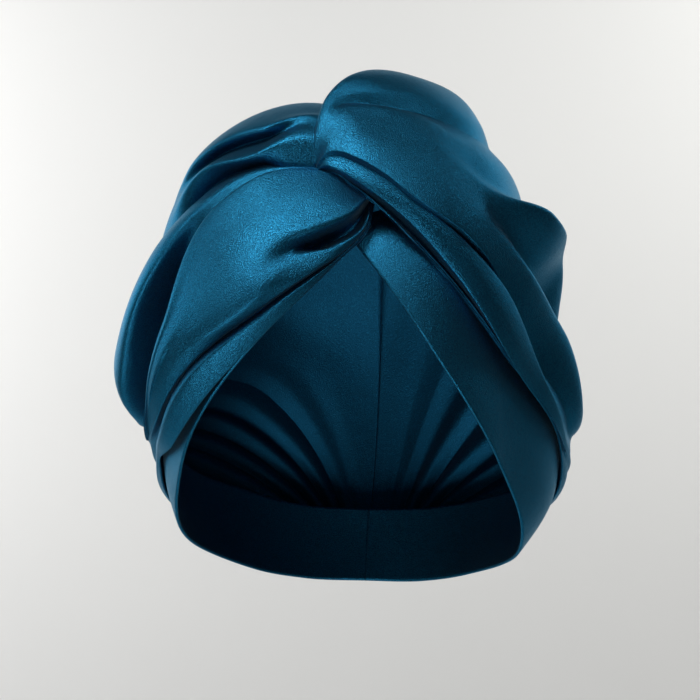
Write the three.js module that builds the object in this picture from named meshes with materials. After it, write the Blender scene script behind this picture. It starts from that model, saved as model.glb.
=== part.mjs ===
// Sleep bonnet: a satin head wrap whose two halves cross in a twist at the front.
// Millimetres, +Z up, the face towards -Y. The origin is the middle of the head that the bonnet
// fits, level with the temples. Azimuth 0 is the face, 90 is +X and 180 the nape.
import * as THREE from 'three';

// The head form: half-axes of an egg, and the fullness that stands off it behind each ear.
const HEAD = { side: 76, front: 93, back: 97, up: 115, down: 130 };
const FULLNESS = { over: 17, under: 9 };
const FULL_AZIMUTH = { start: 55, full: 105, ease: 110, end: 170 };
const FULL_ELEVATION = { start: -54, full: -18, ease: 0, end: 35 };

// Cloth sizes.
const WRAP_THICKNESS = 1.2;
const BAND_THICKNESS = 1.6;
const BAND_LIFT = 2.2;
const CROSSING_RISE = 2.4;

// The gathers at the nape: half of their width, their height and how far the halves lap.
const NAPE = { azimuth: 180, elevation: -40 };
const GATHER = { halfAngle: 29, elevation: -38, lapAngle: -0.3, start: 0.72 };

// A wrap runs from its knot at the front (0) to the nape (1). At the back, at these shares of the
// way, its folds are shared out evenly from the seam, which keeps a set turn and lift.
const BACK_STATIONS = [0.72, 0.88, 1.0];
const ROOT_SHARE = 0.015;
const SEAM_TURN = 90;
const BACK_KEEP = 0.3;
const BACK_RIDGE = 2;
const PUFF_START = 0.1;
const SEAM_LIFT = 4.2;
const LAP_SHARE = 0.55;

// Facets along and across each piece, and how a band's edge curves between its rows.
const WRAP_STEPS = 34;
const STEPS_PER_FOLD = 2;
const BAND_STEPS = { along: 36, across: 4 };
const BAND_TENSION = 0.5;
const SLOPE_STEP = 0.01;

// The folds of each half at its front stations, which are shares of the way from the knot.
// turn: degrees about the knot, from the brow (0) over the ear (90) to the crown (180).
// lift: height over the head form. crease: 0 is a soft roll, 1 a sharp fold.
const OVER_STATIONS = [0.02, 0.05, 0.10, 0.18, 0.28, 0.42, 0.54];
const OVER_FOLDS = [
  { fold: 'seam', crease: 0,
    turn: [70, 68, 72, 76, 82, 91, 92],
    lift: [17.5, 15.6, 11.5, 6.5, 4.6, 4.2, 4.2] },
  { fold: 'strip edge', crease: 0.5,
    turn: [76, 73, 75, 78, 83.5, 92.5, 94],
    lift: [20, 19.5, 16.5, 12, 9, 5.5, 4.6] },
  { fold: 'strip face', crease: 0,
    turn: [92, 85, 84, 84.5, 88.5, 95, 96],
    lift: [22, 22, 21, 18, 14.5, 8, 5] },
  { fold: 'strip crest', crease: 0.5,
    turn: [104, 95, 92, 93.5, 96.5, 100, 98],
    lift: [22.5, 22.5, 21.5, 18.5, 15, 10, 5.5] },
  { fold: 'groove', crease: 0.4,
    turn: [109, 99, 96, 98, 101.5, 106, 102],
    lift: [20, 19.5, 18, 14, 8.5, 5, 4.6] },
  { fold: 'low lobe', crease: 0,
    turn: [114, 103, 99.5, 101.5, 105, 109, 106],
    lift: [24, 25.5, 26, 25, 25.5, 19, 12] },
  { fold: 'dip', crease: 0,
    turn: [121, 110, 105.5, 105.5, 109, 118, 116],
    lift: [25, 27.5, 29, 27, 25, 11, 10] },
  { fold: 'bump', crease: 0,
    turn: [128, 122, 113, 110, 115, 131, 130],
    lift: [25.5, 29, 31, 29.5, 38, 34, 18] },
  { fold: 'hollow', crease: 0,
    turn: [138, 135, 121, 116, 127, 142, 140],
    lift: [26, 31, 33, 29.5, 27, 22, 23] },
  { fold: 'shoulder', crease: 0,
    turn: [152, 150, 133, 125, 139, 150, 150],
    lift: [27, 33, 35, 32.5, 31.5, 30, 28] },
  { fold: 'roll groove', crease: 0.5,
    turn: [166, 165, 143, 134, 146, 158, 159],
    lift: [26, 31, 31, 33, 31, 28, 27] },
  { fold: 'roll front', crease: 0,
    turn: [172, 171, 150, 143, 153, 166, 168],
    lift: [27, 33.5, 36.5, 37.5, 38, 33, 29] },
  { fold: 'roll top', crease: 0,
    turn: [177, 176, 162, 158, 163, 174, 176],
    lift: [27, 34, 40, 41, 45, 35, 30] },
  { fold: 'roll back', crease: 0,
    turn: [181, 180, 173, 175, 179, 182, 183],
    lift: [26, 31.5, 38, 38, 40, 33, 30] },
  { fold: 'roll edge', crease: 0,
    turn: [185, 184, 178, 185, 189, 190, 191],
    lift: [25, 28.5, 30, 30, 30, 28, 27] },
];
const UNDER_STATIONS = [0.04, 0.09, 0.125, 0.18, 0.28, 0.42, 0.54];
const UNDER_FOLDS = [
  { fold: 'seam', crease: 0,
    turn: [16, 30, 37, 45.5, 58, 72.5, 87],
    lift: [8, 7.3, 6.6, 5.6, 4.4, 4.2, 4.2] },
  { fold: 'hem crest', crease: 0.2,
    turn: [19, 33, 40, 48.5, 62, 76, 90],
    lift: [9.5, 9.5, 10, 11.5, 13, 9.5, 5.5] },
  { fold: 'hem groove', crease: 0.3,
    turn: [22, 36, 43.5, 52.5, 66, 81, 93.5],
    lift: [8.5, 8, 8, 9, 10.5, 7.5, 5] },
  { fold: 'lip', crease: 0,
    turn: [25, 41, 48, 57, 69.5, 84, 95.5],
    lift: [10, 12.5, 16, 19, 17, 11, 7] },
  { fold: 'pocket', crease: 0.2,
    turn: [36, 53, 57, 62.5, 72, 86, 96.5],
    lift: [8, 8, 16, 21.5, 19.5, 12.3, 7.5] },
  { fold: 'low face', crease: 0,
    turn: [46, 62, 66, 71, 75, 87.8, 97.3],
    lift: [14.5, 18.5, 21.5, 24, 22, 13, 7.8] },
  { fold: 'face', crease: 0,
    turn: [72, 82, 84, 82.5, 79, 89.6, 98.2],
    lift: [15.7, 20.4, 23.2, 25.3, 23.2, 13.6, 8] },
  { fold: 'face ridge', crease: 0.2,
    turn: [98, 102, 98, 92, 84, 92, 99.5],
    lift: [15.4, 20.2, 24.5, 27, 23.5, 14, 8] },
  { fold: 'side valley', crease: 0.1,
    turn: [105, 107, 105.5, 100.5, 97, 98, 102],
    lift: [15, 19.4, 21.5, 21.5, 12, 7, 6] },
  { fold: 'side ridge', crease: 0,
    turn: [109, 110, 109.5, 106, 102, 103, 106],
    lift: [15, 19.4, 22.3, 25, 27.5, 22, 13] },
  { fold: 'side back', crease: 0,
    turn: [112, 112, 113, 112, 109.5, 112.5, 114],
    lift: [15.5, 19, 22, 25, 29.5, 27.5, 18] },
  { fold: 'crease', crease: 0.6,
    turn: [116, 115, 117.5, 119, 117.5, 123, 123],
    lift: [15, 18.5, 20.5, 22.5, 24, 25.5, 21.5] },
  { fold: 'lobe ridge', crease: 0,
    turn: [128, 120.5, 121, 123, 124, 132, 133],
    lift: [17, 25, 28, 30, 31, 29, 25.5] },
  { fold: 'lobe dent', crease: 0,
    turn: [144, 134, 131, 130, 132, 143, 145],
    lift: [17, 24, 26, 27, 31, 30, 27.5] },
  { fold: 'lobe top', crease: 0,
    turn: [160, 148, 142, 139, 143, 156, 160],
    lift: [16, 24, 30, 33.5, 33, 32, 30] },
  { fold: 'crown', crease: 0,
    turn: [176, 168, 163, 162, 167, 176, 178],
    lift: [14, 20, 24, 28, 30, 27, 24] },
  { fold: 'crown edge', crease: 0,
    turn: [190, 186, 186, 187, 191, 195, 196],
    lift: [12, 17, 18.5, 20, 21, 20, 20] },
];

// Each half: the side it lies on, its knot, the lift at the knot, and the lift of its body and of
// its lapped crown edge at the back stations.
const OVER_WRAP = {
  side: 1, knot: { azimuth: -9, elevation: 62, lift: 22 },
  stations: OVER_STATIONS, folds: OVER_FOLDS,
  bodyLift: [24, 15, 5], edgeLift: [26, 18, 5],
};
const UNDER_WRAP = {
  side: -1, knot: { azimuth: 16, elevation: 60, lift: 9 },
  stations: UNDER_STATIONS, folds: UNDER_FOLDS,
  bodyLift: [24, 15, 5], edgeLift: [19, 11, 5],
};

// The face edge of each band from the crossing over the brow to the nape, and the band's width.
const OVER_BAND = [
  { azimuth: 2, elevation: 55, width: 30 },
  { azimuth: 9, elevation: 49, width: 34 },
  { azimuth: 20, elevation: 37, width: 38 },
  { azimuth: 32, elevation: 20.7, width: 40 },
  { azimuth: 47, elevation: 2, width: 43 },
  { azimuth: 66, elevation: -19, width: 48 },
  { azimuth: 84, elevation: -35, width: 48 },
  { azimuth: 106, elevation: -44, width: 44 },
  { azimuth: 132, elevation: -49, width: 40 },
  { azimuth: 156, elevation: -51, width: 37 },
  { azimuth: 179.8, elevation: -51, width: 36 },
];
const UNDER_BAND = [
  { azimuth: 14, elevation: 54, width: 30 },
  { azimuth: 7, elevation: 49, width: 32 },
  { azimuth: -9, elevation: 35.4, width: 34 },
  { azimuth: -26, elevation: 20.3, width: 36 },
  { azimuth: -42, elevation: 4, width: 38 },
  { azimuth: -65, elevation: -20, width: 42 },
  { azimuth: -84, elevation: -34, width: 42 },
  { azimuth: -106, elevation: -43, width: 40 },
  { azimuth: -132, elevation: -49, width: 40 },
  { azimuth: -156, elevation: -51, width: 37 },
  { azimuth: -179.8, elevation: -51, width: 36 },
];
// Rows of the band over which the under band comes down again after the crossing.
const CROSSING_ROWS = { start: 1.3, end: 3.2 };

const SATIN = { color: 0x0d4a6e, roughness: 0.38, metalness: 0 };

const { degToRad, radToDeg, clamp, smoothstep } = THREE.MathUtils;

/** Unit direction of an azimuth and elevation in degrees. */
function direction(azimuth, elevation) {
  const a = degToRad(azimuth);
  const e = degToRad(elevation);
  return new THREE.Vector3(Math.sin(a) * Math.cos(e), -Math.cos(a) * Math.cos(e), Math.sin(e));
}

/** Radius of the head egg along a unit direction. */
function headRadius(d) {
  const depth = d.y < 0 ? HEAD.front : HEAD.back;
  const height = d.z > 0 ? HEAD.up : HEAD.down;
  return 1 / Math.hypot(d.x / HEAD.side, d.y / depth, d.z / height);
}

/** A swell that rises between start and full and falls between ease and end. */
function swell(x, range) {
  return smoothstep(x, range.start, range.full) * (1 - smoothstep(x, range.ease, range.end));
}

/** The point at a lift over the head form along a unit direction. */
function onForm(d, lift) {
  const azimuth = radToDeg(Math.atan2(d.x, -d.y));
  const elevation = radToDeg(Math.asin(clamp(d.z, -1, 1)));
  const amount = azimuth > 0 ? FULLNESS.over : FULLNESS.under;
  const stand = amount * swell(Math.abs(azimuth), FULL_AZIMUTH) * swell(elevation, FULL_ELEVATION);
  return d.clone().multiplyScalar(headRadius(d) + stand + lift);
}

/** Cubic Hermite value at t between two values with their slopes. */
function hermite(from, to, slopeFrom, slopeTo, t) {
  const t2 = t * t;
  const t3 = t2 * t;
  const start = (2 * t3 - 3 * t2 + 1) * from + (t3 - 2 * t2 + t) * slopeFrom;
  return start + (3 * t2 - 2 * t3) * to + (t3 - t2) * slopeTo;
}

/** A cubic through values at stations that never swings past them. */
function along(stations, values, x) {
  const last = stations.length - 1;
  const grade = (i) => (values[i + 1] - values[i]) / (stations[i + 1] - stations[i]);
  const slope = (i) => {
    if (i === 0) return grade(0);
    if (i === last) return grade(last - 1);
    const product = grade(i - 1) * grade(i);
    return product > 0 ? (2 * product) / (grade(i - 1) + grade(i)) : 0;
  };
  const next = stations.findIndex((s, k) => k > 0 && x <= s);
  const i = (next < 0 ? last : next) - 1;
  const span = stations[i + 1] - stations[i];
  return hermite(values[i], values[i + 1], slope(i) * span, slope(i + 1) * span, (x - stations[i]) / span);
}

/** A curve across the folds at row position v. A creased row loses its slope, so it stays sharp. */
function across(values, creases, v) {
  const last = values.length - 1;
  const slope = (i) => {
    const low = Math.max(i - 1, 0);
    const high = Math.min(i + 1, last);
    return ((values[high] - values[low]) / (high - low)) * (1 - creases[i]);
  };
  const i = Math.min(Math.floor(v), last - 1);
  return hermite(values[i], values[i + 1], slope(i), slope(i + 1), v - i);
}

/** Turns of a fold at every station: steady near the knot, evenly shared out at the back. */
function foldTurns(wrap, row, share) {
  const front = wrap.folds[row].turn;
  const lastTurn = front[front.length - 1];
  const crownTurn = wrap.folds[wrap.folds.length - 1].turn[front.length - 1];
  const even = SEAM_TURN + share * (crownTurn - SEAM_TURN);
  return [front[0], ...front, even + BACK_KEEP * (lastTurn - even), even, even];
}

/** Lifts of a fold at every station: soft ridges at the back, and the lap at the crown edge. */
function foldLifts(wrap, row, share) {
  const puff = Math.sin((PUFF_START + (1 - PUFF_START) * share) * Math.PI / 2);
  const ridge = BACK_RIDGE * Math.cos(Math.PI * row) * Math.sin(Math.PI * share);
  const lap = smoothstep(share, LAP_SHARE, 1);
  const back = BACK_STATIONS.map((station, i) => {
    const body = SEAM_LIFT + (wrap.bodyLift[i] - SEAM_LIFT) * puff + (station < 1 ? ridge : 0);
    return row === 0 ? SEAM_LIFT : body + (wrap.edgeLift[i] - body) * lap;
  });
  return [wrap.knot.lift, ...wrap.folds[row].lift, ...back];
}

/** The turning frame of a wrap: its knot direction, brow and side directions, and the nape turn. */
function wrapFrame(wrap) {
  const knot = direction(wrap.knot.azimuth, wrap.knot.elevation);
  const nape = direction(NAPE.azimuth, NAPE.elevation);
  const brow = new THREE.Vector3(0, 0, -1).addScaledVector(knot, knot.z).normalize();
  const ear = new THREE.Vector3().crossVectors(knot, brow);
  ear.multiplyScalar(Math.sign(ear.x) * wrap.side);
  const far = knot.clone().negate();
  const axis = new THREE.Vector3().crossVectors(far, nape).normalize();
  return { knot, brow, ear, axis, angle: far.angleTo(nape) };
}

/** Outer surface of a wrap: a function of the share u from knot to nape and the fold position v. */
function wrapSurface(wrap) {
  const frame = wrapFrame(wrap);
  const stations = [0, ...wrap.stations, ...BACK_STATIONS];
  const last = wrap.folds.length - 1;
  const creases = wrap.folds.map((fold) => fold.crease);
  const turns = wrap.folds.map((fold, row) => foldTurns(wrap, row, row / last));
  const lifts = wrap.folds.map((fold, row) => foldLifts(wrap, row, row / last));
  return (u, v) => {
    const turn = degToRad(across(turns.map((row) => along(stations, row, u)), creases, v));
    const lift = across(lifts.map((row) => along(stations, row, u)), creases, v);
    const sweep = Math.PI * u;
    const d = frame.knot.clone().multiplyScalar(Math.cos(sweep));
    d.addScaledVector(frame.brow, Math.sin(sweep) * Math.cos(turn));
    d.addScaledVector(frame.ear, Math.sin(sweep) * Math.sin(turn));
    d.applyAxisAngle(frame.axis, frame.angle * smoothstep(u, 0, 1));
    const share = v / last;
    const spread = GATHER.halfAngle * (1 - share) - GATHER.lapAngle * share;
    const gather = direction(NAPE.azimuth - wrap.side * spread, GATHER.elevation);
    d.lerp(gather, smoothstep(u, GATHER.start, 1)).normalize();
    return onForm(d, lift);
  };
}

/** Outer surface of a band: a function of the row position along it and the share of its width. */
function bandSurface(rows, side, rise) {
  const points = rows.map((row) => new THREE.Vector3(row.azimuth, row.elevation, row.width));
  const path = new THREE.CatmullRomCurve3(points, false, 'catmullrom', BAND_TENSION);
  const last = rows.length - 1;
  const edge = (position) => {
    const row = path.getPoint(position / last);
    return { d: direction(row.x, row.y), width: row.z };
  };
  return (position, share) => {
    const { d, width } = edge(position);
    const ahead = edge(Math.min(position + SLOPE_STEP, last)).d;
    const behind = edge(Math.max(position - SLOPE_STEP, 0)).d;
    const upward = new THREE.Vector3().crossVectors(d, ahead.sub(behind)).normalize();
    const angle = (width * share) / headRadius(d);
    const spread = d.clone().multiplyScalar(Math.cos(angle));
    spread.addScaledVector(upward, side * Math.sin(angle));
    const crossing = rise * (1 - smoothstep(position, CROSSING_ROWS.start, CROSSING_ROWS.end));
    return onForm(spread.normalize(), BAND_LIFT + crossing);
  };
}

/** A closed cloth wall: the outer surface on a grid, the inner one a thickness below, and a rim. */
function clothWall(surface, us, vs, thickness, outward) {
  const outer = us.map((u) => vs.map((v) => surface(u, v)));
  const normal = (i, j) => {
    const alongU = outer[Math.min(i + 1, us.length - 1)][j].clone().sub(outer[Math.max(i - 1, 0)][j]);
    const alongV = outer[i][Math.min(j + 1, vs.length - 1)].clone().sub(outer[i][Math.max(j - 1, 0)]);
    return alongU.cross(alongV).normalize().multiplyScalar(outward);
  };
  const below = (p, i, j) => p.clone().addScaledVector(normal(i, j), -thickness);
  const inner = outer.map((line, i) => line.map((p, j) => below(p, i, j)));
  const points = [...outer.flat(), ...inner.flat()];
  const columns = vs.length;
  const layerSize = us.length * columns;
  const at = (i, j, layer) => layer * layerSize + i * columns + j;
  const triangles = [];
  const quad = (a, b, c, d) => {
    const corners = outward > 0 ? [a, b, c, a, c, d] : [a, c, b, a, d, c];
    triangles.push(...corners);
  };
  for (let i = 0; i < us.length - 1; i += 1) {
    for (let j = 0; j < columns - 1; j += 1) {
      quad(at(i, j, 0), at(i + 1, j, 0), at(i + 1, j + 1, 0), at(i, j + 1, 0));
      quad(at(i, j, 1), at(i, j + 1, 1), at(i + 1, j + 1, 1), at(i + 1, j, 1));
    }
  }
  const rim = (a, b) => quad(at(...a, 0), at(...a, 1), at(...b, 1), at(...b, 0));
  const lastU = us.length - 1;
  const lastV = columns - 1;
  for (let i = 0; i < lastU; i += 1) {
    rim([i, 0], [i + 1, 0]);
    rim([i + 1, lastV], [i, lastV]);
  }
  for (let j = 0; j < lastV; j += 1) {
    rim([0, j + 1], [0, j]);
    rim([lastU, j], [lastU, j + 1]);
  }
  const geometry = new THREE.BufferGeometry();
  const coordinates = points.flatMap((p) => p.toArray());
  geometry.setAttribute('position', new THREE.Float32BufferAttribute(coordinates, 3));
  geometry.setIndex(triangles);
  geometry.computeVertexNormals();
  return geometry;
}

/** Evenly spaced values from one number to another. */
function spaced(from, to, steps) {
  return Array.from({ length: steps + 1 }, (_, i) => from + ((to - from) * i) / steps);
}

/** A named mesh in its own satin material. */
function satinMesh(name, geometry) {
  const mesh = new THREE.Mesh(geometry, new THREE.MeshStandardMaterial({ ...SATIN }));
  mesh.name = name;
  return mesh;
}

/** One gathered half of the crown. */
function wrapMesh(name, wrap) {
  const rows = wrap.folds.length - 1;
  const us = spaced(ROOT_SHARE, 1, WRAP_STEPS);
  const vs = spaced(0, rows, rows * STEPS_PER_FOLD);
  return satinMesh(name, clothWall(wrapSurface(wrap), us, vs, WRAP_THICKNESS, wrap.side));
}

/** One flat folded face band. */
function bandMesh(name, rows, side, rise) {
  const positions = spaced(0, rows.length - 1, BAND_STEPS.along);
  const shares = spaced(0, 1, BAND_STEPS.across);
  return satinMesh(name, clothWall(bandSurface(rows, side, rise), positions, shares, BAND_THICKNESS, side));
}

const bonnet = new THREE.Group();
bonnet.name = 'sleep_bonnet';
bonnet.add(
  wrapMesh('under_wrap', UNDER_WRAP),
  wrapMesh('over_wrap', OVER_WRAP),
  bandMesh('under_band', UNDER_BAND, UNDER_WRAP.side, CROSSING_RISE),
  bandMesh('over_band', OVER_BAND, OVER_WRAP.side, 0),
);

export default bonnet;
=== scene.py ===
"""A satin sleep bonnet, dressed for its studio picture.

The crown is two gathered halves that cross in a twist over the brow, and flat folded bands frame
the face. A half is worked out in wrap coordinates: the share of the way from its knot to the nape,
the turn about the knot, and the lift over the egg-shaped form that it is wrapped on. Tables are in
millimetres and degrees, and meshes in metres.
"""
import logging
import math
from dataclasses import dataclass, field, replace
from enum import Enum

import bpy
import numpy as np
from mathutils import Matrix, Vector

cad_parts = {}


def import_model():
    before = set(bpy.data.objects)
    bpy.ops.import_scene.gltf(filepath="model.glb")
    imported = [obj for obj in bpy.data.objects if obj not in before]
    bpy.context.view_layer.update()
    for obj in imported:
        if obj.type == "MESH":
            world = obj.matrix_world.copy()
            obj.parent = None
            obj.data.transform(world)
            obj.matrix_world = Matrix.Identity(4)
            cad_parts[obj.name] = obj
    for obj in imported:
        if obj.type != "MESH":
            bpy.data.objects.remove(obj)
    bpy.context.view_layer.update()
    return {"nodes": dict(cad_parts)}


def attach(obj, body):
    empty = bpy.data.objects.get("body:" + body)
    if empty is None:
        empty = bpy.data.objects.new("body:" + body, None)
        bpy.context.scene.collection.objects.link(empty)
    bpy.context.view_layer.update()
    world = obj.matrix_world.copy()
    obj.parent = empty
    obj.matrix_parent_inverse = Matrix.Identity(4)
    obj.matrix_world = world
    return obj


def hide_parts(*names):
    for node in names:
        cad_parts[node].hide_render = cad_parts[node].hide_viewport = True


LOG = logging.getLogger("sleep_bonnet")
MM = 0.001
PICTURE_PX = 700
SENSOR_MM = 36.0
QUARTER_TURN = 90.0

# The attribute that is 1 on the back of the cloth.
INSIDE = "inside"

# Sockets of the Mix node for colours, the middle of a noise, its octaves, and no stretch.
MIX_FACTOR, MIX_FIRST, MIX_SECOND, MIX_RESULT = 0, 6, 7, 2
MIDDLE = 0.5
FINE_DETAIL = 1.0
SLOW_DETAIL = 2.0
EVEN = (1.0, 1.0, 1.0)

Triple = tuple[float, float, float]
Span = tuple[float, float, float, float]
Colour = tuple[float, float, float, float]


class Slot(Enum):
    """Names of the satins' material slots."""

    WRAP = "wrap_satin"
    BAND = "band_satin"


class Hold(Enum):
    """How a sheet of cloth is held."""

    GATHERED = "gathered"
    FOLDED = "folded"


class Side(Enum):
    """The half of the bonnet that a piece lies on, as the sign of x."""

    OVER = 1
    UNDER = -1


def smoothstep(x: np.ndarray, low: float, high: float) -> np.ndarray:
    """Rise from 0 at low to 1 at high as 3t squared less 2t cubed.

    Args:
        x: Values to read the rise at.
        low: Where the rise starts.
        high: Where the rise ends.

    Returns:
        The rise at each value.
    """
    t = np.clip((np.asarray(x, float) - low) / (high - low), 0.0, 1.0)
    return t * t * (3.0 - 2.0 * t)


def swell(x: np.ndarray, span: Span) -> np.ndarray:
    """Rise over the first two numbers of a span and fall over the last two."""
    return smoothstep(x, span[0], span[1]) * (1.0 - smoothstep(x, span[2], span[3]))


def cubic(start: np.ndarray, end: np.ndarray, leave: np.ndarray, arrive: np.ndarray,
          t: np.ndarray) -> np.ndarray:
    """Cubic that leaves start and reaches end with the given slopes.

    Args:
        start: Values at t = 0.
        end: Values at t = 1.
        leave: Slopes at t = 0.
        arrive: Slopes at t = 1.
        t: Share of the way.

    Returns:
        The cubic's values at t.
    """
    t2 = t * t
    t3 = t2 * t
    return ((2 * t3 - 3 * t2 + 1) * start + (t3 - 2 * t2 + t) * leave
            + (3 * t2 - 2 * t3) * end + (t3 - t2) * arrive)


def along(stations: np.ndarray, rows: np.ndarray, u: np.ndarray) -> np.ndarray:
    """Cubic through each row's values at the stations that never swings past them.

    The slope at a station is the harmonic mean of the two grades beside it, or nothing at a peak.

    Args:
        stations: Shares of the way, in order.
        rows: Values, a row for each fold and a column for each station.
        u: Shares of the way to read.

    Returns:
        Values, a row for each fold and a column for each u.
    """
    span = np.diff(stations)
    grade = np.diff(rows, axis=1) / span
    product = grade[:, :-1] * grade[:, 1:]
    total = grade[:, :-1] + grade[:, 1:]
    mean = np.where(product > 0, 2 * product / np.where(total == 0, 1.0, total), 0.0)
    slope = np.hstack([grade[:, :1], mean, grade[:, -1:]])
    i = np.clip(np.searchsorted(stations, u) - 1, 0, len(span) - 1)
    t = (u - stations[i]) / span[i]
    return cubic(rows[:, i], rows[:, i + 1], slope[:, i] * span[i], slope[:, i + 1] * span[i], t)


def across(rows: np.ndarray, creases: np.ndarray, v: np.ndarray) -> np.ndarray:
    """Curve across the folds. A creased row loses its share of slope, so it stays sharp.

    Args:
        rows: Values, a row for each fold.
        creases: Sharpness of each fold, from 0 to 1.
        v: Row positions to read.

    Returns:
        Values, a row for each column of rows and a column for each v.
    """
    slope = np.gradient(rows, axis=0) * (1.0 - creases)[:, None]
    i = np.clip(np.floor(v).astype(int), 0, len(rows) - 2)
    t = (v - i)[:, None]
    return cubic(rows[i], rows[i + 1], slope[i], slope[i + 1], t).T


def direction(azimuth: np.ndarray | float, elevation: np.ndarray | float) -> np.ndarray:
    """Unit vectors of an azimuth, 0 at the face and 90 at +X, and an elevation.

    Args:
        azimuth: Azimuths in degrees.
        elevation: Elevations in degrees.

    Returns:
        The vectors, with x, y and z along the last axis.
    """
    a, e = np.radians(azimuth), np.radians(elevation)
    parts = (np.sin(a) * np.cos(e), -np.cos(a) * np.cos(e), np.sin(e))
    return np.stack(np.broadcast_arrays(*parts), axis=-1)


def unit(vectors: np.ndarray) -> np.ndarray:
    """The same vectors with a length of one."""
    return vectors / np.linalg.norm(vectors, axis=-1, keepdims=True)


def turned(vectors: np.ndarray, axis: np.ndarray, angle: np.ndarray) -> np.ndarray:
    """Vectors turned about an axis: their part along it stays, and the part square to it turns.

    Args:
        vectors: The vectors.
        axis: Unit vector of the axis.
        angle: Angle of each vector in radians.

    Returns:
        The turned vectors.
    """
    cosine, sine = np.cos(angle)[..., None], np.sin(angle)[..., None]
    inline = (vectors @ axis)[..., None] * axis
    return vectors * cosine + np.cross(axis, vectors) * sine + inline * (1.0 - cosine)


class Value:
    """A socket of a shader. Sums, differences and products add their Math nodes."""

    def __init__(self, graph: "ShaderGraph", socket: bpy.types.NodeSocket) -> None:
        """Wrap a socket of a shader graph."""
        self.graph = graph
        self.socket = socket

    def _math(self, operation: str, first: "Value | float", second: "Value | float") -> "Value":
        """Add a Math node on two values."""
        return self.graph.node("ShaderNodeMath", {"operation": operation}, {0: first, 1: second})

    def __add__(self, other: "Value | float") -> "Value":
        """Sum."""
        return self._math("ADD", self, other)

    def __radd__(self, other: "Value | float") -> "Value":
        """Sum with a number first."""
        return self._math("ADD", other, self)

    def __sub__(self, other: "Value | float") -> "Value":
        """Difference."""
        return self._math("SUBTRACT", self, other)

    def __rsub__(self, other: "Value | float") -> "Value":
        """Difference from a number."""
        return self._math("SUBTRACT", other, self)

    def __mul__(self, other: "Value | float") -> "Value":
        """Product."""
        return self._math("MULTIPLY", self, other)

    def __rmul__(self, other: "Value | float") -> "Value":
        """Product with a number first."""
        return self._math("MULTIPLY", other, self)


class ShaderGraph:
    """The node tree of one material."""

    def __init__(self, name: str) -> None:
        """Start an empty material of a name."""
        self.material = bpy.data.materials.new(name)
        self.material.use_nodes = True
        self.tree = self.material.node_tree
        self.tree.nodes.clear()

    def node(self, kind: str, settings: dict[str, object] | None = None,
             sockets: dict[int | str, object] | None = None, output: int | str = 0) -> Value:
        """Add a node, set it up and feed its sockets.

        Args:
            kind: Node type.
            settings: Properties that are set first.
            sockets: Values or links of its input sockets, by name or number.
            output: Name or number of the output that is handed back.

        Returns:
            The output as a value.
        """
        made = self.tree.nodes.new(kind)
        for key, value in (settings or {}).items():
            setattr(made, key, value)
        for key, value in (sockets or {}).items():
            if isinstance(value, Value):
                self.tree.links.new(value.socket, made.inputs[key])
            else:
                made.inputs[key].default_value = value
        return Value(self, made.outputs[output])

    def mix(self, factor: Value, first: Colour, second: Colour) -> Value:
        """Mix two colours by a factor.

        Args:
            factor: 0 for the first colour and 1 for the second.
            first: The first colour.
            second: The second colour.

        Returns:
            The mixed colour.
        """
        settings = {"data_type": "RGBA", "clamp_factor": True}
        sockets = {MIX_FACTOR: factor, MIX_FIRST: first, MIX_SECOND: second}
        return self.node("ShaderNodeMix", settings, sockets, MIX_RESULT)

    def noise(self, vector: Value, scale: float, detail: float, stretch: Triple = EVEN) -> Value:
        """Noise from 0 to 1 on a vector that is stretched first.

        Args:
            vector: Coordinates.
            scale: Cells in a metre.
            detail: Octaves.
            stretch: Factor of each coordinate, where less is longer.

        Returns:
            The noise.
        """
        placed = self.node("ShaderNodeMapping", {}, {"Vector": vector, "Scale": stretch})
        sockets = {"Vector": placed, "Scale": scale, "Detail": detail}
        return self.node("ShaderNodeTexNoise", {}, sockets)

    def bump(self, height: Value, depth: float, earlier: Value | None = None) -> Value:
        """Normal of a surface with a relief.

        Args:
            height: Height of the relief, from 0 to 1.
            depth: Millimetres from its foot to its top.
            earlier: The normal that it comes on top of, if there is one.

        Returns:
            The normal.
        """
        sockets = {"Strength": 1.0, "Distance": depth * MM, "Height": height}
        if earlier is not None:
            sockets["Normal"] = earlier
        return self.node("ShaderNodeBump", {}, sockets, "Normal")

    def surface(self, shader: Value) -> bpy.types.Material:
        """Link a shader to the material's output.

        Args:
            shader: The shader.

        Returns:
            The finished material.
        """
        end = self.tree.nodes.new("ShaderNodeOutputMaterial")
        self.tree.links.new(shader.socket, end.inputs["Surface"])
        return self.material


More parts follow.
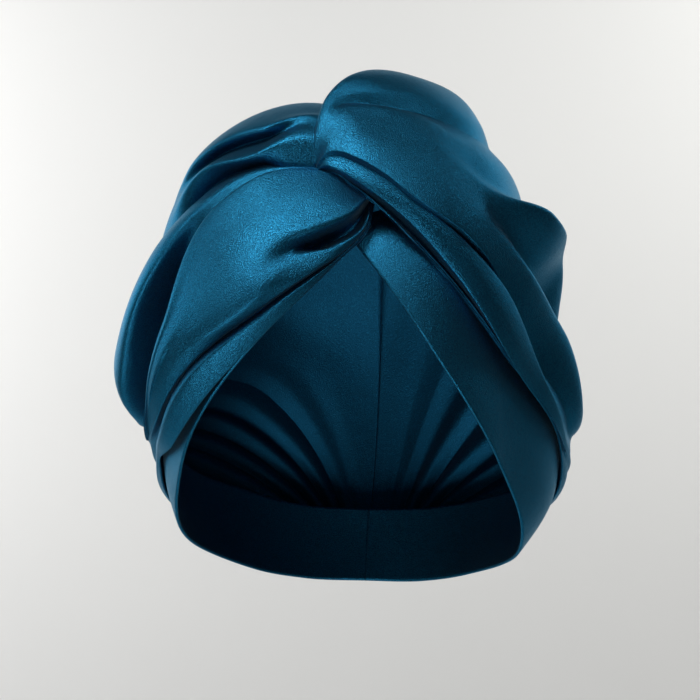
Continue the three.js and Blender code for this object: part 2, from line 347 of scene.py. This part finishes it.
@dataclass(frozen=True)
class SatinFinish:
    """Dyed satin: tinted gloss on the face, dull on the back, with a fine grain of threads.

    A scale is in noise cells to the metre and a depth in millimetres. A tone or roughness says how
    much the named noise, or being on the back, changes the colour or the roughness.
    """

    name: str
    slot: Slot
    deep: Colour = (0.006, 0.080, 0.165, 1.0)
    bright: Colour = (0.014, 0.170, 0.310, 1.0)
    edge: Colour = (0.35, 0.60, 0.75, 1.0)
    metallic: float = 0.9
    roughness: float = 0.32
    specular: float = 0.3
    sheen: float = 0.12
    sheen_roughness: float = 0.4
    thread_scale: float = 1200.0
    thread_stretch: Triple = (0.3, 1.0, 1.0)
    thread_share: float = 0.2
    grain_scale: float = 2400.0
    grain_depth: float = 0.31
    grain_tone: float = 4.0
    grain_roughness: float = 0.12
    ripple_scale: float = 160.0
    ripple_depth: float = 0.12
    shade_scale: float = 18.0
    shade_tone: float = 0.5
    inside_tone: float = 0.5
    inside_roughness: float = 0.2

    def material(self) -> bpy.types.Material:
        """Build the satin.

        Threads are noise drawn out along the cloth, and grain is a fine even noise. Together they
        make the first bump, and ripple, a slower noise, adds a second one. The grain also varies
        the colour and the roughness, and shade, a slow noise, varies the colour. The back of the
        cloth is darker and duller.

        Returns:
            The material.
        """
        graph = ShaderGraph(self.name)
        cloth = graph.node("ShaderNodeTexCoord", output="UV")
        place = graph.node("ShaderNodeTexCoord", output="Object")
        inside = graph.node("ShaderNodeAttribute", {"attribute_name": INSIDE}, output="Fac")
        threads = graph.noise(cloth, self.thread_scale, FINE_DETAIL, self.thread_stretch)
        grain = graph.noise(place, self.grain_scale, FINE_DETAIL)
        ripple = graph.noise(place, self.ripple_scale, SLOW_DETAIL)
        shade = graph.noise(place, self.shade_scale, SLOW_DETAIL)
        tone = (MIDDLE + self.grain_tone * (grain - MIDDLE) + self.shade_tone * (shade - MIDDLE)
                - self.inside_tone * inside)
        roughness = (self.roughness + self.grain_roughness * (grain - MIDDLE)
                     + self.inside_roughness * inside)
        relief = threads * self.thread_share + grain * (1.0 - self.thread_share)
        fine = graph.bump(relief, self.grain_depth)
        sockets = {
            "Base Color": graph.mix(tone, self.deep, self.bright),
            "Metallic": self.metallic,
            "Roughness": roughness,
            "Normal": graph.bump(ripple, self.ripple_depth, fine),
            "Specular IOR Level": self.specular,
            "Specular Tint": self.edge,
            "Sheen Weight": self.sheen,
            "Sheen Roughness": self.sheen_roughness,
            "Sheen Tint": self.edge,
        }
        return graph.surface(graph.node("ShaderNodeBsdfPrincipled", {}, sockets))


@dataclass(frozen=True)
class PaleMatt:
    """Matt paint of the studio."""

    name: str = "pale_paint"
    colour: Colour = (0.80, 0.80, 0.79, 1.0)
    mottle: Colour = (0.77, 0.77, 0.76, 1.0)
    mottle_scale: float = 2.0
    roughness: float = 0.9

    def material(self) -> bpy.types.Material:
        """Build the paint: a pale colour with a slow, faint mottle.

        Returns:
            The material.
        """
        graph = ShaderGraph(self.name)
        place = graph.node("ShaderNodeTexCoord", output="Object")
        cloud = graph.noise(place, self.mottle_scale, SLOW_DETAIL)
        colour = graph.mix(cloud, self.colour, self.mottle)
        sockets = {"Base Color": colour, "Roughness": self.roughness}
        return graph.surface(graph.node("ShaderNodeBsdfPrincipled", {}, sockets))


@dataclass(frozen=True)
class WrapForm:
    """The egg that the bonnet is wrapped on, with the fullness that stands off it by each ear."""

    side: float = 76.0
    front: float = 93.0
    back: float = 97.0
    up: float = 115.0
    down: float = 130.0
    full_over: float = 17.0
    full_under: float = 9.0
    full_azimuth: Span = (55.0, 105.0, 110.0, 170.0)
    full_elevation: Span = (-54.0, -18.0, 0.0, 35.0)

    def radius(self, d: np.ndarray) -> np.ndarray:
        """Radius of the egg along unit vectors: one over the length of d divided by the half-axes.

        Args:
            d: Unit vectors.

        Returns:
            The radii in millimetres.
        """
        depth = np.where(d[..., 1] < 0, self.front, self.back)
        height = np.where(d[..., 2] > 0, self.up, self.down)
        square = (d[..., 0] / self.side) ** 2 + (d[..., 1] / depth) ** 2 + (d[..., 2] / height) ** 2
        return 1.0 / np.sqrt(square)

    def point(self, d: np.ndarray, lift: np.ndarray) -> np.ndarray:
        """Points at a lift over the form along unit vectors.

        Args:
            d: Unit vectors.
            lift: Height over the egg and its fullness.

        Returns:
            The points in millimetres.
        """
        azimuth = np.degrees(np.arctan2(d[..., 0], -d[..., 1]))
        elevation = np.degrees(np.arcsin(np.clip(d[..., 2], -1.0, 1.0)))
        amount = np.where(azimuth > 0, self.full_over, self.full_under)
        fullness = swell(np.abs(azimuth), self.full_azimuth)
        stand = amount * fullness * swell(elevation, self.full_elevation)
        return d * (self.radius(d) + stand + lift)[..., None]


def surface_normals(points: np.ndarray, outward: float) -> np.ndarray:
    """Unit normals of a grid of points: the cross product of its two slopes."""
    return unit(np.cross(np.gradient(points, axis=0), np.gradient(points, axis=1))) * outward


def cloth_lengths(points: np.ndarray) -> np.ndarray:
    """Place of each grid point on the cloth: the lengths run along its column and along its row.

    Args:
        points: A grid of points, as rows by columns by 3.

    Returns:
        The two lengths of each point, as rows by columns by 2.
    """
    down = np.linalg.norm(np.diff(points, axis=0), axis=-1)
    over = np.linalg.norm(np.diff(points, axis=1), axis=-1)
    first = np.vstack([np.zeros((1, points.shape[1])), np.cumsum(down, axis=0)])
    second = np.hstack([np.zeros((points.shape[0], 1)), np.cumsum(over, axis=1)])
    return np.stack([first, second], axis=-1)


def cloth_object(name: str, outer: np.ndarray, thickness: float,
                 outward: float) -> bpy.types.Object:
    """Close a grid of points into a wall of cloth.

    The inner layer is the outer one moved in by the thickness along its normals, and a rim joins
    their edges. The UV map holds each point's place on the cloth in metres.

    Args:
        name: Name of the object and its mesh.
        outer: Points of the outer layer in millimetres, as rows by columns by 3.
        thickness: Thickness of the wall in millimetres.
        outward: Sign that points the grid's normals outwards.

    Returns:
        The object.
    """
    rows, columns = outer.shape[:2]
    inner = outer - surface_normals(outer, outward) * thickness
    points = np.concatenate([outer.reshape(-1, 3), inner.reshape(-1, 3)]) * MM
    grid = np.arange(rows * columns).reshape(rows, columns)
    corners = [grid[:-1, :-1], grid[1:, :-1], grid[1:, 1:], grid[:-1, 1:]]
    face = np.stack(corners, axis=-1).reshape(-1, 4)
    edge = np.concatenate([grid[:-1, 0], grid[-1, :-1], grid[:0:-1, -1], grid[0, :0:-1]])
    after = np.roll(edge, -1)
    under = rows * columns
    rim = np.stack([edge, edge + under, after + under, after], axis=-1)
    faces = np.concatenate([face, face[:, ::-1] + under, rim])
    faces = faces if outward > 0 else faces[:, ::-1]
    mesh = bpy.data.meshes.new(name)
    mesh.vertices.add(len(points))
    mesh.vertices.foreach_set("co", points.astype(np.float32).ravel())
    mesh.loops.add(faces.size)
    mesh.loops.foreach_set("vertex_index", faces.astype(np.int32).ravel())
    mesh.polygons.add(len(faces))
    mesh.polygons.foreach_set("loop_start", np.arange(0, faces.size, 4, dtype=np.int32))
    mesh.update(calc_edges=True)
    mesh.polygons.foreach_set("use_smooth", np.ones(len(faces), bool))
    place = np.tile(cloth_lengths(outer).reshape(-1, 2) * MM, (2, 1))
    spread = mesh.uv_layers.new(name="cloth")
    spread.data.foreach_set("uv", place[faces.ravel()].astype(np.float32).ravel())
    layer = mesh.attributes.new(INSIDE, "FLOAT", "POINT")
    layer.data.foreach_set("value", np.repeat(np.array([0.0, 1.0], np.float32), under))
    mesh.validate()
    made = bpy.data.objects.new(name, mesh)
    bpy.context.scene.collection.objects.link(made)
    return made


@dataclass(frozen=True)
class Fold:
    """One fold of a crown half: its sharpness, and its turn and lift at the front stations."""

    name: str
    crease: float
    turn: tuple[float, ...]
    lift: tuple[float, ...]


@dataclass(frozen=True)
class Knot:
    """Where a half starts at the front: a direction and the lift there."""

    azimuth: float
    elevation: float
    lift: float


# Stations are shares of the way from the knot to the nape. The turn goes from the brow (0) over the
# ear (90) to the crown (180), and a crease of 0 is a soft roll and of 1 a sharp fold.
BACK_STATIONS = (0.72, 0.88, 1.0)
OVER_STATIONS = (0.02, 0.05, 0.10, 0.18, 0.28, 0.42, 0.54)
OVER_FOLDS = (
    Fold("seam", crease=0.0,
         turn=(75, 72, 71.5, 76.5, 83, 92, 93),
         lift=(13, 13, 12, 7, 4.6, 4.2, 4.2)),
    Fold("pleat", crease=0.6,
         turn=(82, 73, 72, 76, 82, 91.5, 93.5),
         lift=(17, 15.5, 12.3, 7.5, 5.2, 4.5, 4.3)),
    Fold("pleat groove", crease=0.3,
         turn=(85, 78, 77, 79, 84, 91.8, 94),
         lift=(16, 13, 10.5, 6.5, 5, 4.5, 4.3)),
    Fold("strip edge", crease=0.5,
         turn=(70, 69, 72.5, 76, 80, 89, 93.5),
         lift=(20.5, 20, 17, 12.5, 9, 5.5, 4.6)),
    Fold("strip face", crease=0.0,
         turn=(82, 76.5, 76, 80.5, 85.5, 91, 94.5),
         lift=(22, 22.5, 20.5, 17, 13, 7.5, 5)),
    Fold("strip crest", crease=0.6,
         turn=(95, 85.5, 80.5, 86.5, 92.5, 94, 96),
         lift=(23.3, 24, 22.5, 18.5, 14.5, 9, 5.5)),
    Fold("groove", crease=0.4,
         turn=(97, 87.5, 83, 90.5, 98, 101, 101),
         lift=(20.5, 20.5, 16, 11, 5.5, 4.4, 4.6)),
    Fold("low body", crease=0.8,
         turn=(88, 79, 78.5, 88, 97.5, 103, 102.5),
         lift=(25.5, 27.3, 25, 20.5, 10.5, 6.5, 7)),
    Fold("low lobe", crease=0.0,
         turn=(98, 88, 87.5, 96.5, 105.5, 113, 107),
         lift=(26.6, 29, 26.8, 24, 20.5, 19, 12)),
    Fold("dip", crease=0.0,
         turn=(109, 101, 98, 103, 110.5, 123, 118),
         lift=(27.2, 30.3, 28.5, 25.8, 19, 10, 10)),
    Fold("bump", crease=0.3,
         turn=(122, 117, 111, 109.5, 116, 132.5, 130.5),
         lift=(27.6, 31.2, 30.5, 28.5, 39, 34.5, 18)),
    Fold("hollow", crease=0.1,
         turn=(135, 133, 120, 115, 126, 142, 140),
         lift=(27.8, 32, 32.3, 28.5, 27, 22, 23)),
    Fold("shoulder", crease=0.0,
         turn=(150, 150, 133, 124, 139, 150, 150),
         lift=(27.8, 32.8, 34, 31.5, 31.5, 30, 28)),
    Fold("roll groove", crease=0.6,
         turn=(163, 163, 144, 134, 147, 158, 159),
         lift=(27.7, 33, 31, 32.5, 31, 28, 27)),
    Fold("roll front", crease=0.2,
         turn=(169, 168, 150, 142, 153, 166, 168),
         lift=(28, 34, 37, 37.5, 38, 33, 29)),
    Fold("roll top", crease=0.0,
         turn=(176, 176.5, 162, 158, 162, 174, 176),
         lift=(27.5, 33.8, 40, 41, 45, 35, 30)),
    Fold("roll back", crease=0.0,
         turn=(181, 180, 173, 175, 179, 182, 183),
         lift=(26, 31.5, 38, 38, 40, 33, 30)),
    Fold("roll edge", crease=0.0,
         turn=(184, 183, 178, 185, 189, 190, 191),
         lift=(24.5, 28.5, 26, 25, 25.3, 23.8, 22.5)),
)
UNDER_STATIONS = (0.04, 0.09, 0.125, 0.18, 0.28, 0.42, 0.54)
UNDER_FOLDS = (
    Fold("seam", crease=0.0,
         turn=(16, 31.5, 39, 47.5, 59, 73, 87),
         lift=(6, 5.2, 4.8, 4.6, 4.3, 4.2, 4.2)),
    Fold("hem foot", crease=0.2,
         turn=(16, 30, 37, 45.5, 58, 72, 87.5),
         lift=(7, 6.5, 6.5, 6.5, 6.5, 5.5, 4.7)),
    Fold("hem crest", crease=0.1,
         turn=(17.5, 30, 37.8, 47.5, 62.5, 76, 89),
         lift=(7.5, 8, 9.5, 12, 14.5, 10, 5.5)),
    Fold("hem groove", crease=0.3,
         turn=(20, 32, 41.5, 52, 67.5, 81.5, 93.5),
         lift=(6, 6.5, 8, 10, 11, 7.2, 4.8)),
    Fold("low edge", crease=0.3,
         turn=(19, 31, 39.5, 50, 66.5, 80.5, 95),
         lift=(8, 9.5, 12, 14, 13.5, 10.5, 7)),
    Fold("lip", crease=0.2,
         turn=(20.5, 36.5, 48.5, 51.5, 68, 81.5, 95.5),
         lift=(9, 11, 15, 19.5, 17.5, 11.5, 7.2)),
    Fold("pocket", crease=0.2,
         turn=(40, 56, 54.5, 57, 70, 82.5, 96),
         lift=(4.5, 3, 15.5, 22, 19.8, 12.5, 7.5)),
    Fold("pocket top", crease=0.1,
         turn=(32, 46.5, 57.5, 64, 72, 83, 96.3),
         lift=(14.5, 17.3, 20.3, 23.5, 21.3, 13, 7.7)),
    Fold("low face", crease=0.0,
         turn=(46, 58.5, 67, 72, 73.5, 83.3, 96.6),
         lift=(15.5, 19.5, 22.3, 24.3, 22.5, 13.3, 7.9)),
    Fold("face", crease=0.0,
         turn=(70, 80, 84, 82.5, 76.5, 83.6, 96.8),
         lift=(16, 20.5, 23.2, 25.3, 23.2, 13.6, 8)),
    Fold("face ridge", crease=0.5,
         turn=(104, 106, 101, 93.5, 79, 84, 97),
         lift=(16, 20.5, 24.5, 27, 23.5, 14, 8)),
    Fold("side valley", crease=0.1,
         turn=(108, 109, 106.5, 101, 103, 100, 103),
         lift=(15.5, 19.5, 21.5, 21.5, 10, 6, 6)),
    Fold("side ridge", crease=0.0,
         turn=(111, 111, 110, 106, 97, 96, 104),
         lift=(15.5, 19.5, 22.3, 25, 28, 23.5, 14)),
    Fold("side back", crease=0.0,
         turn=(113, 112, 114, 112, 108, 112, 114),
         lift=(15.5, 19, 22, 24.5, 28, 27.5, 18)),
    Fold("crease", crease=0.8,
         turn=(116, 113, 118, 119, 118, 124, 123),
         lift=(15, 18, 20.5, 22.5, 22, 24, 21)),
    Fold("lobe ridge", crease=0.2,
         turn=(130, 120, 112.5, 116, 124, 132, 133),
         lift=(20, 28, 28.5, 32, 26, 26, 24.5)),
    Fold("lobe dent", crease=0.1,
         turn=(146, 136, 130, 128, 131, 143, 145),
         lift=(21, 28, 26, 28, 29, 28.5, 27)),
    Fold("lobe top", crease=0.0,
         turn=(162, 149, 127, 127, 139, 156, 160),
         lift=(21, 28.5, 32.5, 34.5, 32, 31.5, 30)),
    Fold("crown", crease=0.0,
         turn=(176, 168, 162, 160, 166, 176, 178),
         lift=(18, 22, 26, 29, 30, 27, 24)),
    Fold("crown edge", crease=0.0,
         turn=(190, 186, 186, 187, 191, 195, 196),
         lift=(14, 17, 19, 20, 21, 20, 20)),
)


@dataclass
class CrownHalf:
    """One gathered half of the crown, from its knot at the front to the gathers at the nape.

    At the back stations the folds are shared out evenly from the seam to the crown edge. At the
    first of them they keep a part of their own turn, and they rise in soft ridges. Near the crown
    edge the lifts go over to those of the lap, and from a share of the way on the lines draw
    together into the gathers.
    """

    name: str
    node: str
    side: Side
    knot: Knot
    stations: tuple[float, ...]
    folds: tuple[Fold, ...]
    body_lift: Triple
    edge_lift: Triple
    flat: tuple[float, float]
    flat_area: float
    finish: SatinFinish
    form: WrapForm = field(default_factory=WrapForm)
    thickness: float = 0.9
    root_share: float = 0.004
    seam_turn: float = 90.0
    seam_lift: float = 4.2
    back_keep: float = 0.3
    back_ridge: float = 2.0
    puff_start: float = 0.1
    lap_share: float = 0.55
    nape: tuple[float, float] = (180.0, -40.0)
    gather_half: float = 29.0
    gather_elevation: float = -38.0
    gather_lap: float = -0.3
    gather_start: float = 0.72
    steps_along: int = 210
    steps_a_fold: int = 11
    front_weight: float = 1.25

    def _stations(self) -> np.ndarray:
        """Shares of the way at which the folds are given."""
        return np.array((0.0,) + self.stations + BACK_STATIONS)

    def _turns(self, share: np.ndarray) -> np.ndarray:
        """Turn of each fold at every station: steady near the knot, evenly shared out at the back.

        Args:
            share: Place of each fold, from 0 at the seam to 1 at the crown edge.

        Returns:
            Turns in degrees, a row for each fold.
        """
        front = np.array([fold.turn for fold in self.folds], float)
        even = self.seam_turn + share * (front[-1, -1] - self.seam_turn)
        blend = even + self.back_keep * (front[:, -1] - even)
        return np.column_stack([front[:, 0], front, blend, even, even])

    def _lifts(self, share: np.ndarray) -> np.ndarray:
        """Lift of each fold at every station: soft ridges at the back, a lap at the crown edge.

        Args:
            share: Place of each fold, from 0 at the seam to 1 at the crown edge.

        Returns:
            Lifts in millimetres, a row for each fold.
        """
        front = np.array([fold.lift for fold in self.folds], float)
        count = len(self.folds)
        puff = np.sin((self.puff_start + (1 - self.puff_start) * share) * np.pi / 2)
        ridge = self.back_ridge * np.cos(np.pi * np.arange(count)) * np.sin(np.pi * share)
        lap = smoothstep(share, self.lap_share, 1.0)
        body = self.seam_lift + (np.array(self.body_lift)[None] - self.seam_lift) * puff[:, None]
        body[:, :-1] += ridge[:, None]
        back = body + (np.array(self.edge_lift)[None] - body) * lap[:, None]
        back[0] = self.seam_lift
        return np.column_stack([np.full(count, self.knot.lift), front, back])

    def surface(self, u: np.ndarray, v: np.ndarray) -> np.ndarray:
        """Outer face of the half.

        A point goes out from the knot by u half-turns in the direction of its fold's turn. The
        whole fan is tilted so that its far pole comes to the nape, where each line runs to its own
        place in the gathers, and the point stands on the form at its fold's lift.

        Args:
            u: Shares of the way from the knot to the nape.
            v: Row positions across the folds.

        Returns:
            Points in millimetres, as len(u) by len(v) by 3.
        """
        last = len(self.folds) - 1
        share = np.arange(last + 1) / last
        creases = np.array([fold.crease for fold in self.folds])
        stations = self._stations()
        turn = np.radians(across(along(stations, self._turns(share), u), creases, v))
        lift = across(along(stations, self._lifts(share), u), creases, v)
        knot = direction(self.knot.azimuth, self.knot.elevation)
        nape = direction(*self.nape)
        brow = unit(np.array([0.0, 0.0, -1.0]) + knot * knot[2])
        ear = np.cross(knot, brow)
        ear = ear * np.sign(ear[0]) * self.side.value
        sweep = np.pi * u[:, None]
        ring = np.cos(turn)[..., None] * brow + np.sin(turn)[..., None] * ear
        d = np.cos(sweep)[..., None] * knot + np.sin(sweep)[..., None] * ring
        axis = unit(np.cross(-knot, nape))
        tilt = math.acos(float(np.clip(-knot @ nape, -1.0, 1.0)))
        d = turned(d, axis, np.broadcast_to(tilt * smoothstep(u, 0.0, 1.0)[:, None], turn.shape))
        spread = self.gather_half * (1 - v / last) - self.gather_lap * v / last
        gather = direction(self.nape[0] - self.side.value * spread, self.gather_elevation)
        draw = smoothstep(u, self.gather_start, 1.0)[:, None, None]
        return self.form.point(unit(d * (1 - draw) + gather[None] * draw), lift)

    def build(self) -> bpy.types.Object:
        """Make the half, dress it in its satin, tie it to the root body and hide its solid.

        Returns:
            The half.
        """
        last = len(self.folds) - 1
        way = np.linspace(0, 1, self.steps_along) ** self.front_weight
        u = self.root_share + (1 - self.root_share) * way
        v = np.linspace(0, last, last * self.steps_a_fold + 1)
        piece = cloth_object(self.name, self.surface(u, v), self.thickness, self.side.value)
        return dress(piece, self.node, self.finish)


@dataclass(frozen=True)
class BandRow:
    """Face edge of a band: its direction, and the band's width there."""

    azimuth: float
    elevation: float
    width: float


OVER_BAND_ROWS = (
    BandRow(2, 55, 30), BandRow(9, 49, 34), BandRow(20, 37, 38), BandRow(32, 20.7, 40),
    BandRow(47, 2, 43), BandRow(66, -19, 48), BandRow(84, -35, 48), BandRow(106, -44, 44),
    BandRow(132, -49, 40), BandRow(156, -51, 37), BandRow(180.2, -51, 36),
)
UNDER_BAND_ROWS = (
    BandRow(14, 54, 30), BandRow(7, 49, 32), BandRow(-9, 35.4, 34), BandRow(-26, 20.3, 36),
    BandRow(-42, 4, 38), BandRow(-65, -20, 42), BandRow(-84, -34, 42), BandRow(-106, -43, 40),
    BandRow(-132, -49, 40), BandRow(-156, -51, 37), BandRow(-180.2, -51, 36),
)


@dataclass
class FaceBand:
    """A strip of satin folded lengthwise, with the fold along the face.

    The rise lifts its front end over the other band, and the flare lifts its sewn edge below the
    twist.
    """

    name: str
    node: str
    side: Side
    rows: tuple[BandRow, ...]
    rise: float
    flat: tuple[float, float]
    flat_area: float
    finish: SatinFinish
    form: WrapForm = field(default_factory=WrapForm)
    lift: float = 2.2
    depth: float = 1.6
    thickness: float = 0.5
    crossing: tuple[float, float] = (1.3, 3.2)
    flare: float = 0.0
    flare_span: Span = (0.6, 1.3, 1.7, 3.2)
    steps_along: int = 300
    steps_layer: int = 30
    steps_fold: int = 9

    def _edge(self, position: np.ndarray) -> tuple[np.ndarray, np.ndarray]:
        """Direction and width of the face edge: a smooth curve through the rows.

        Args:
            position: Row positions along the band.

        Returns:
            The directions and the widths.
        """
        rows = np.array([(row.azimuth, row.elevation, row.width) for row in self.rows], float)
        path = across(rows, np.zeros(len(rows)), position)
        return direction(path[0], path[1]), path[2]

    def surface(self, position: np.ndarray, share: np.ndarray, drop: np.ndarray) -> np.ndarray:
        """Points of the folded band.

        From the face edge a point goes up the form, square to the edge, by a share of the width,
        and stands on it at the band's lift less its drop into the fold. The crossing's rise and the
        flare, which grows with the share, are added.

        Args:
            position: Row positions along the band.
            share: Shares of the width, a column each.
            drop: Millimetres below the outer face, a column each.

        Returns:
            Points in millimetres, as len(position) by len(share) by 3.
        """
        d, width = self._edge(position)
        ahead = np.gradient(d, axis=0, edge_order=2)
        upward = unit(np.cross(d, ahead)) * self.side.value
        angle = width[:, None] * share[None] / self.form.radius(d)[:, None]
        spread = np.cos(angle)[..., None] * d[:, None] + np.sin(angle)[..., None] * upward[:, None]
        crossing = self.rise * (1 - smoothstep(position, *self.crossing))
        open_up = self.flare * swell(position, self.flare_span)
        flare = open_up[:, None] * share[None]
        return self.form.point(unit(spread), self.lift + crossing[:, None] + flare - drop[None])

    def build(self) -> bpy.types.Object:
        """Make the band, dress it in its satin, tie it to the root body and hide its solid.

        Returns:
            The band.
        """
        position = np.linspace(0, len(self.rows) - 1, self.steps_along)
        width = np.mean([row.width for row in self.rows])
        half = self.depth / 2
        bend = np.linspace(0, np.pi, self.steps_fold + 2)[1:-1]
        layer = np.linspace(half / width, 1, self.steps_layer)
        front, back = np.zeros(len(layer)), np.full(len(layer), self.depth)
        share = np.concatenate([layer[::-1], (half - half * np.sin(bend)) / width, layer])
        drop = np.concatenate([front, half - half * np.cos(bend), back])
        points = self.surface(position, share, drop)
        piece = cloth_object(self.name, points, self.thickness, -self.side.value)
        return dress(piece, self.node, self.finish)


def dress(piece: bpy.types.Object, node: str, finish: SatinFinish) -> bpy.types.Object:
    """Give a piece its satin, tie it to the root body and hide the solid that it stands for.

    Args:
        piece: The cloth.
        node: The solid that it stands for.
        finish: Its satin.

    Returns:
        The piece.
    """
    piece.data.materials.append(finish.material())
    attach(piece, "root")
    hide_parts(node)
    LOG.info("%s: %d faces", piece.name, len(piece.data.polygons))
    return piece


@dataclass(frozen=True)
class SoftLight:
    """A soft box that looks at the bonnet or at a point of the studio."""

    name: str
    azimuth: float
    elevation: float
    distance: float
    size: tuple[float, float]
    power: float
    colour: Triple = (1.0, 1.0, 1.0)
    aim: Triple = (0.0, 0.0, 0.03)

    def build(self) -> bpy.types.Object:
        """Make the light.

        Returns:
            The light.
        """
        data = bpy.data.lights.new(self.name, "AREA")
        data.shape = "RECTANGLE"
        data.size, data.size_y = self.size
        data.energy = self.power
        data.color = self.colour
        lamp = bpy.data.objects.new(self.name, data)
        away = Vector(direction(self.azimuth, self.elevation).tolist())
        lamp.location = Vector(self.aim) + away * self.distance
        lamp.rotation_euler = away.to_track_quat("Z", "Y").to_euler()
        bpy.context.scene.collection.objects.link(lamp)
        return lamp


@dataclass
class Studio:
    """A pale floor that sweeps up into a wall, soft boxes, and the camera of the picture."""

    floor_height: float = -2.0
    floor_front: float = -1.6
    wall_place: float = 2.2
    half_width: float = 4.0
    cove: float = 0.6
    wall_height: float = 4.3
    steps_cove: int = 24
    camera_azimuth: float = 6.0
    camera_elevation: float = 8.0
    camera_distance: float = 0.8
    focal_px: float = 1800.0
    aim_px: float = 70.0
    ambient: float = 0.06
    lights: tuple[SoftLight, ...] = (
        SoftLight("key_light", -36.0, 60.0, 1.2, (0.5, 0.5), 8.5),
        SoftLight("front_light", -50.0, 26.0, 1.3, (0.8, 0.8), 2.2),
        SoftLight("bounce_light", -8.0, -38.0, 1.2, (0.6, 0.5), 5.0),
        SoftLight("side_light", -100.0, 8.0, 1.3, (0.5, 0.9), 2.0),
        SoftLight("cross_light", 44.0, 50.0, 1.2, (0.35, 0.35), 2.0),
        SoftLight("wall_light_left", -40.0, 28.0, 1.4, (1.2, 0.8), 36.0, aim=(-1.2, 2.2, -0.3)),
        SoftLight("wall_light_right", 45.0, 40.0, 1.6, (1.2, 0.8), 21.0, colour=(1.0, 1.0, 0.98),
                  aim=(0.3, 2.2, -0.3)),
    )

    def backdrop(self) -> bpy.types.Object:
        """Make the floor and wall: a profile of floor, rounded cove and wall, drawn out along X.

        Returns:
            The backdrop.
        """
        bend = np.linspace(0, np.pi / 2, self.steps_cove)
        inward = self.wall_place - self.cove * (1 - np.sin(bend))
        upward = self.cove * (1 - np.cos(bend))
        depth = np.concatenate([[self.floor_front], inward, [self.wall_place]])
        height = np.concatenate([[0.0], upward, [self.wall_height]]) + self.floor_height
        ends = np.array([-self.half_width, self.half_width])
        x, y = np.meshgrid(ends, depth)
        points = np.stack([x, y, np.broadcast_to(height[:, None], x.shape)], axis=-1).reshape(-1, 3)
        grid = np.arange(len(points)).reshape(x.shape)
        faces = np.stack([grid[:-1, 0], grid[:-1, 1], grid[1:, 1], grid[1:, 0]], axis=-1)
        mesh = bpy.data.meshes.new("backdrop")
        mesh.from_pydata(points.tolist(), [], faces.tolist())
        mesh.polygons.foreach_set("use_smooth", np.ones(len(faces), bool))
        made = bpy.data.objects.new("backdrop", mesh)
        made.data.materials.append(PaleMatt().material())
        bpy.context.scene.collection.objects.link(made)
        return made

    def camera(self) -> bpy.types.Object:
        """Make the camera, aimed above the origin so that the bonnet sits in the frame as pictured.

        Returns:
            The camera.
        """
        data = bpy.data.cameras.new("camera")
        data.sensor_width = SENSOR_MM
        data.lens = SENSOR_MM * self.focal_px / PICTURE_PX
        made = bpy.data.objects.new("camera", data)
        back = direction(self.camera_azimuth, self.camera_elevation)
        right = direction(self.camera_azimuth + QUARTER_TURN, 0.0)
        upward = np.cross(right, -back)
        eye = Vector((back * self.camera_distance).tolist())
        aim = Vector((upward * self.camera_distance * self.aim_px / self.focal_px).tolist())
        made.location = eye
        made.rotation_euler = (eye - aim).to_track_quat("Z", "Y").to_euler()
        bpy.context.scene.collection.objects.link(made)
        bpy.context.scene.camera = made
        return made

    def build(self) -> None:
        """Make the camera, the backdrop, the lights and the dim room round them."""
        self.camera()
        self.backdrop()
        for light in self.lights:
            light.build()
        world = bpy.data.worlds.new("room")
        world.use_nodes = True
        background = world.node_tree.nodes["Background"]
        background.inputs["Color"].default_value = (1.0, 1.0, 1.0, 1.0)
        background.inputs["Strength"].default_value = self.ambient
        bpy.context.scene.world = world
        bpy.context.scene.view_settings.view_transform = "Standard"


WRAP_SATIN = SatinFinish("wrap_satin", Slot.WRAP)
BAND_SATIN = replace(WRAP_SATIN, name="band_satin", slot=Slot.BAND)


def bonnet_parts() -> list[CrownHalf | FaceBand]:
    """The pieces of the bonnet in the order in which they are sewn.

    Returns:
        The two bands and the two halves of the crown.
    """
    return [
        FaceBand("under_face_band", "under_band", Side.UNDER, UNDER_BAND_ROWS, rise=2.4,
                 flat=(0.08, 0.31), flat_area=0.0245, finish=BAND_SATIN),
        FaceBand("over_face_band", "over_band", Side.OVER, OVER_BAND_ROWS, rise=0.0,
                 flat=(0.085, 0.31), flat_area=0.0255, finish=BAND_SATIN, flare=9.0),
        CrownHalf("under_crown_half", "under_wrap", Side.UNDER, Knot(16, 60, 9), UNDER_STATIONS,
                  UNDER_FOLDS, body_lift=(24, 15, 5), edge_lift=(19, 11, 5),
                  flat=(0.25, 0.29), flat_area=0.065, finish=WRAP_SATIN),
        CrownHalf("over_crown_half", "over_wrap", Side.OVER, Knot(-9, 62, 15), OVER_STATIONS,
                  OVER_FOLDS, body_lift=(24, 15, 5), edge_lift=(20.8, 12.3, 5),
                  flat=(0.25, 0.29), flat_area=0.065, finish=WRAP_SATIN),
    ]


def main() -> None:
    """Load the frame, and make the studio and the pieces."""
    logging.basicConfig(level=logging.INFO, format="%(name)s: %(message)s")
    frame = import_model()
    LOG.info("%d solids in the frame", len(frame["nodes"]))
    Studio().build()
    for part in bonnet_parts():
        part.build()


if __name__ == "__main__":
    main()
